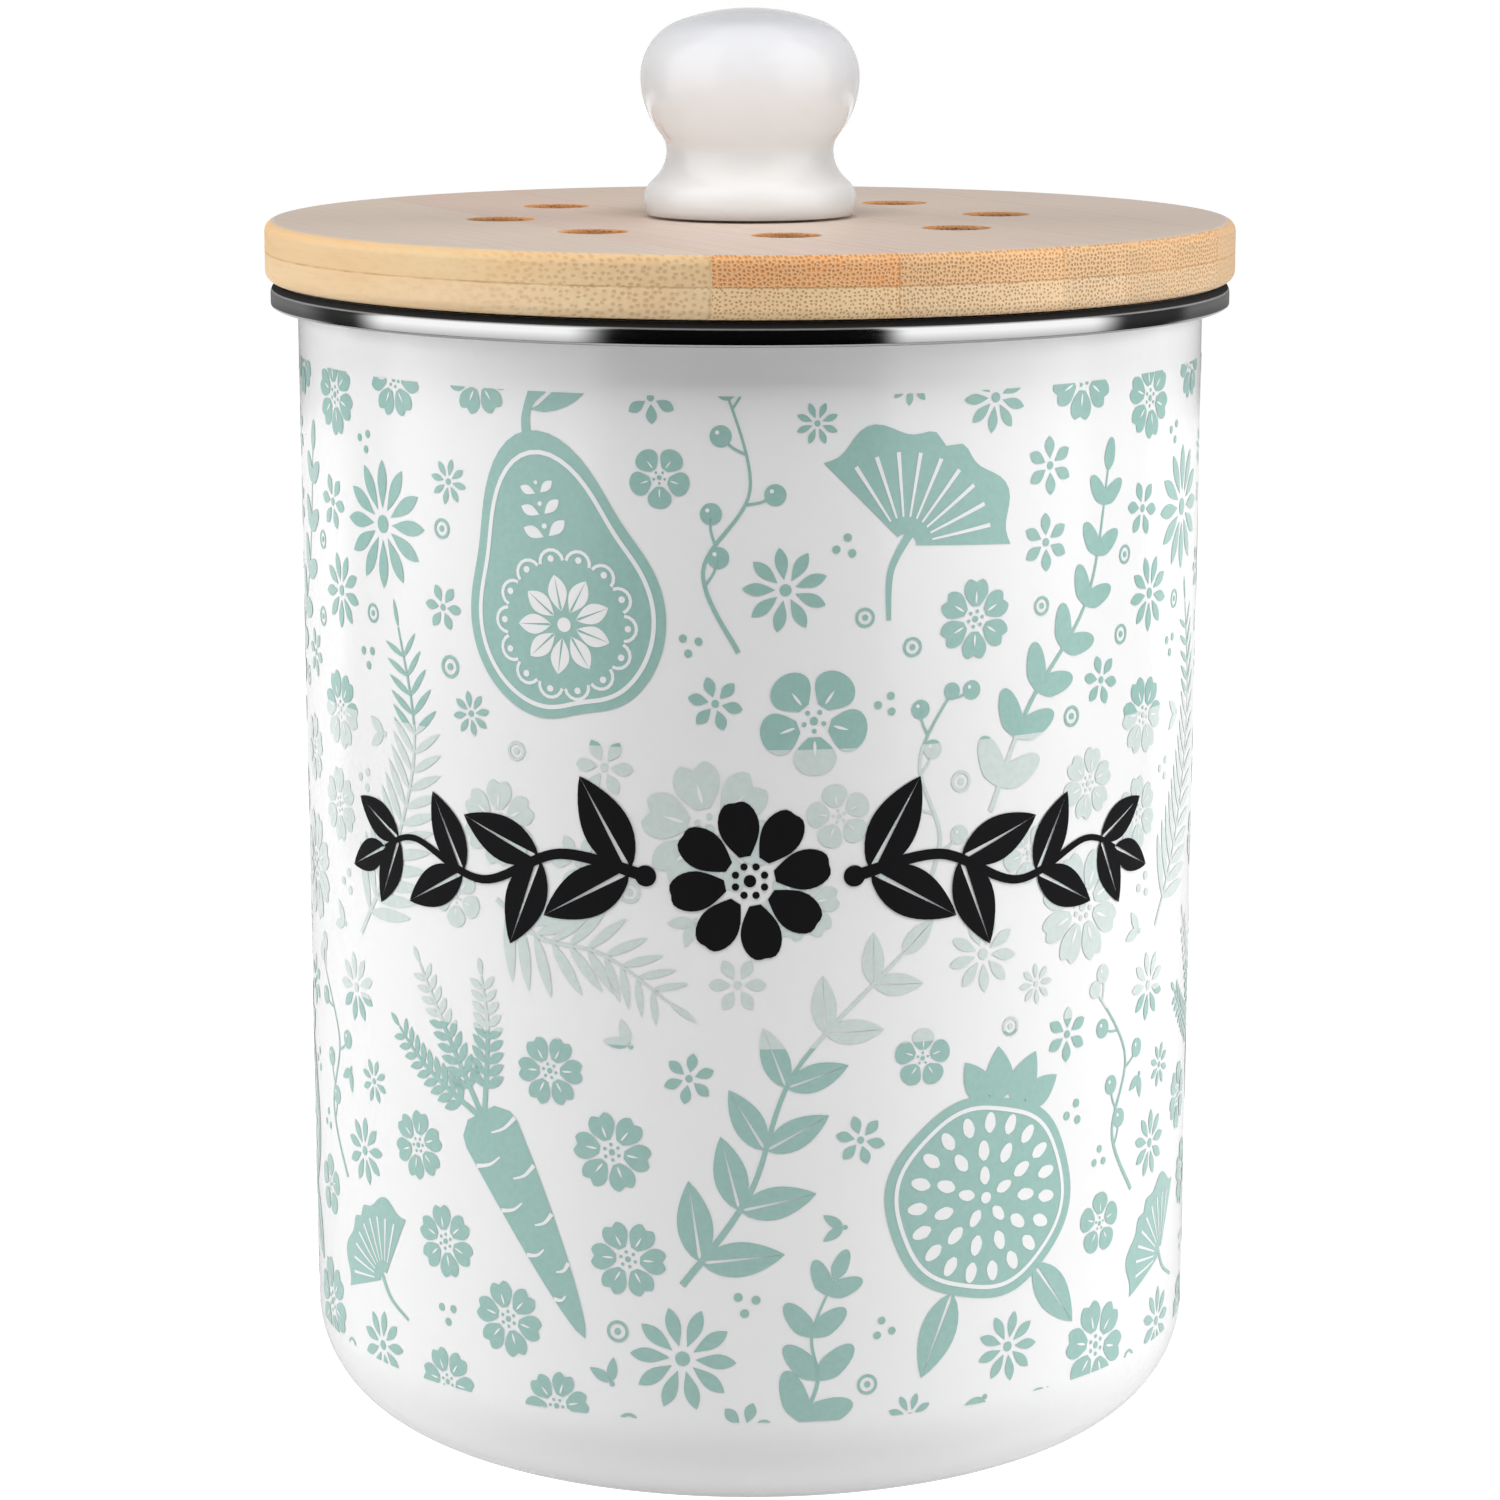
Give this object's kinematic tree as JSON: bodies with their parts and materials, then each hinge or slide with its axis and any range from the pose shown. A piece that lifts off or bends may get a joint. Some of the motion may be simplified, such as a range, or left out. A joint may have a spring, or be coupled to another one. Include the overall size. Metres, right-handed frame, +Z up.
{
  "type": "compost caddy",
  "caption": "Round enamelled steel compost caddy with a steel rim band, a lift-out liner bucket on a wire bail, and a lift-off vented bamboo lid with a ceramic knob and charcoal filter.",
  "frame": {"origin": "centre of the can's foot ring, on the surface that the caddy stands on", "axes": "+Z up along the can's axis, through the knob; the folded bail's grip lies towards -Y, its pivots are on X"},
  "size_m": [0.18, 0.18, 0.2648],
  "materials": {
    "enamel": "glossy white vitreous enamel with a sage green print",
    "polished_steel": "mirror polished stainless steel",
    "liner_plastic": "fine matt moulded polypropylene",
    "wire_steel": "drawn stainless wire",
    "grip_plastic": "smooth moulded polypropylene",
    "bamboo_top": "sanded pale bamboo, flat grain",
    "bamboo_edge": "sanded warm bamboo, cut edge",
    "silicone": "translucent white silicone",
    "charcoal": "open felt loaded with charcoal",
    "clip_steel": "stamped stainless steel",
    "screw_steel": "plated steel",
    "glazed_knob": "glossy white glaze",
    "insert_brass": "turned brass",
    "pad_rubber": "thin soft pad"
  },
  "bodies": {
    "can": {"can_shell": "enamel", "rim_band": "polished_steel"},
    "liner": {"liner_bucket": "liner_plastic"},
    "bail": {"bail_wire": "wire_steel"},
    "grip": {"bail_grip": "grip_plastic"},
    "lid": {"lid_top_ply": "bamboo_top", "lid_bottom_ply": "bamboo_edge", "lid_seat_ring": "bamboo_edge", "lid_gasket": "silicone", "charcoal_filter": "charcoal", "clip_screw_1": "screw_steel", "clip_screw_2": "screw_steel", "clip_screw_3": "screw_steel", "knob": "glazed_knob", "knob_insert": "insert_brass", "knob_screw": "screw_steel", "knob_washer": "screw_steel", "knob_pad": "pad_rubber"},
    "clip_1": {"filter_clip_1": "clip_steel"},
    "clip_2": {"filter_clip_2": "clip_steel"},
    "clip_3": {"filter_clip_3": "clip_steel"}
  },
  "joints": [
    {"name": "liner_lift", "type": "slide", "parent": "can", "child": "liner", "axis": [0, 0, 1], "range_m": [0, 0.22]},
    {"name": "lid_lift", "type": "slide", "parent": "liner", "child": "lid", "axis": [0, 0, 1], "range_m": [0, 0.2]},
    {"name": "bail_swing", "type": "hinge", "parent": "liner", "child": "bail", "pos_m": [0, 0, 0.19805], "axis": [-1, 0, 0], "range_deg": [0, 180]},
    {"name": "grip_roll", "type": "hinge", "parent": "bail", "child": "grip", "pos_m": [0, -0.058, 0.19805], "axis": [1, 0, 0], "continuous": true},
    {"name": "clip_1_turn", "type": "hinge", "parent": "lid", "child": "clip_1", "pos_m": [0, 0.07035, 0.2062], "axis": [0, 0, 1], "range_deg": [-90, 90]},
    {"name": "clip_2_turn", "type": "hinge", "parent": "lid", "child": "clip_2", "pos_m": [-0.06092, -0.03517, 0.2062], "axis": [0, 0, 1], "range_deg": [-90, 90]},
    {"name": "clip_3_turn", "type": "hinge", "parent": "lid", "child": "clip_3", "pos_m": [0.06092, -0.03517, 0.2062], "axis": [0, 0, 1], "range_deg": [-90, 90]}
  ],
  "couplings": [
    {"joint": "bail_swing", "follows": "lid_lift", "rad_per_m": 15.708}
  ]
}
